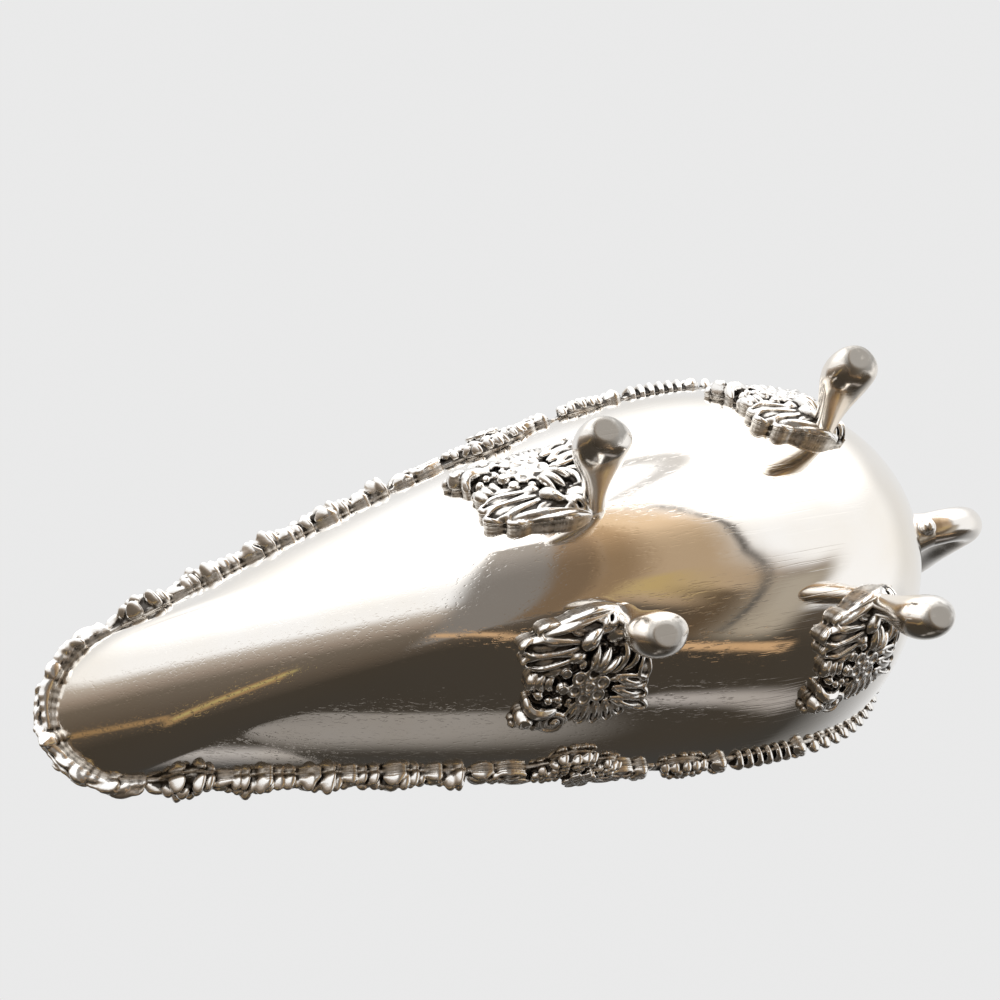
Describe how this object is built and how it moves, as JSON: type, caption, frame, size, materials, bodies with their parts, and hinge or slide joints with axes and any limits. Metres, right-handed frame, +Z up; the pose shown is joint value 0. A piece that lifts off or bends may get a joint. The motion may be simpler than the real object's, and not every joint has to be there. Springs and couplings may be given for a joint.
{
  "type": "sauce boat",
  "caption": "Footed metal sauce boat: long-lipped boat-shaped bowl, cast floral border, ornamented knees over plain splayed legs, loop handle.",
  "frame": {"origin": "on the table plane, under the middle of the object's bounding box, with the boat standing on its feet", "axes": "+X from the spout to the handle, +Y to the boat's right-hand side, +Z up"},
  "size_m": [0.2436, 0.0932, 0.1128],
  "materials": {
    "raised_sheet": "silver sheet, mirror polished, with fine wear scratches",
    "cast_ornament": "cast silver, polished on the high parts and dark with tarnish in the recesses",
    "plain_casting": "cast silver, polished, softly worn"
  },
  "bodies": {
    "root": {"bowl": "raised_sheet", "lip_border": "cast_ornament", "front_border_right": "cast_ornament", "front_border_left": "cast_ornament", "side_spray_right": "cast_ornament", "side_spray_left": "cast_ornament", "rear_border_right": "cast_ornament", "rear_border_left": "cast_ornament", "front_knee_right": "cast_ornament", "front_knee_left": "cast_ornament", "front_leg_right": "plain_casting", "front_leg_left": "plain_casting", "rear_knee_right": "cast_ornament", "rear_knee_left": "cast_ornament", "rear_leg_right": "plain_casting", "rear_leg_left": "plain_casting", "handle": "plain_casting", "handle_root": "plain_casting", "handle_leaf": "cast_ornament"}
  },
  "joints": []
}
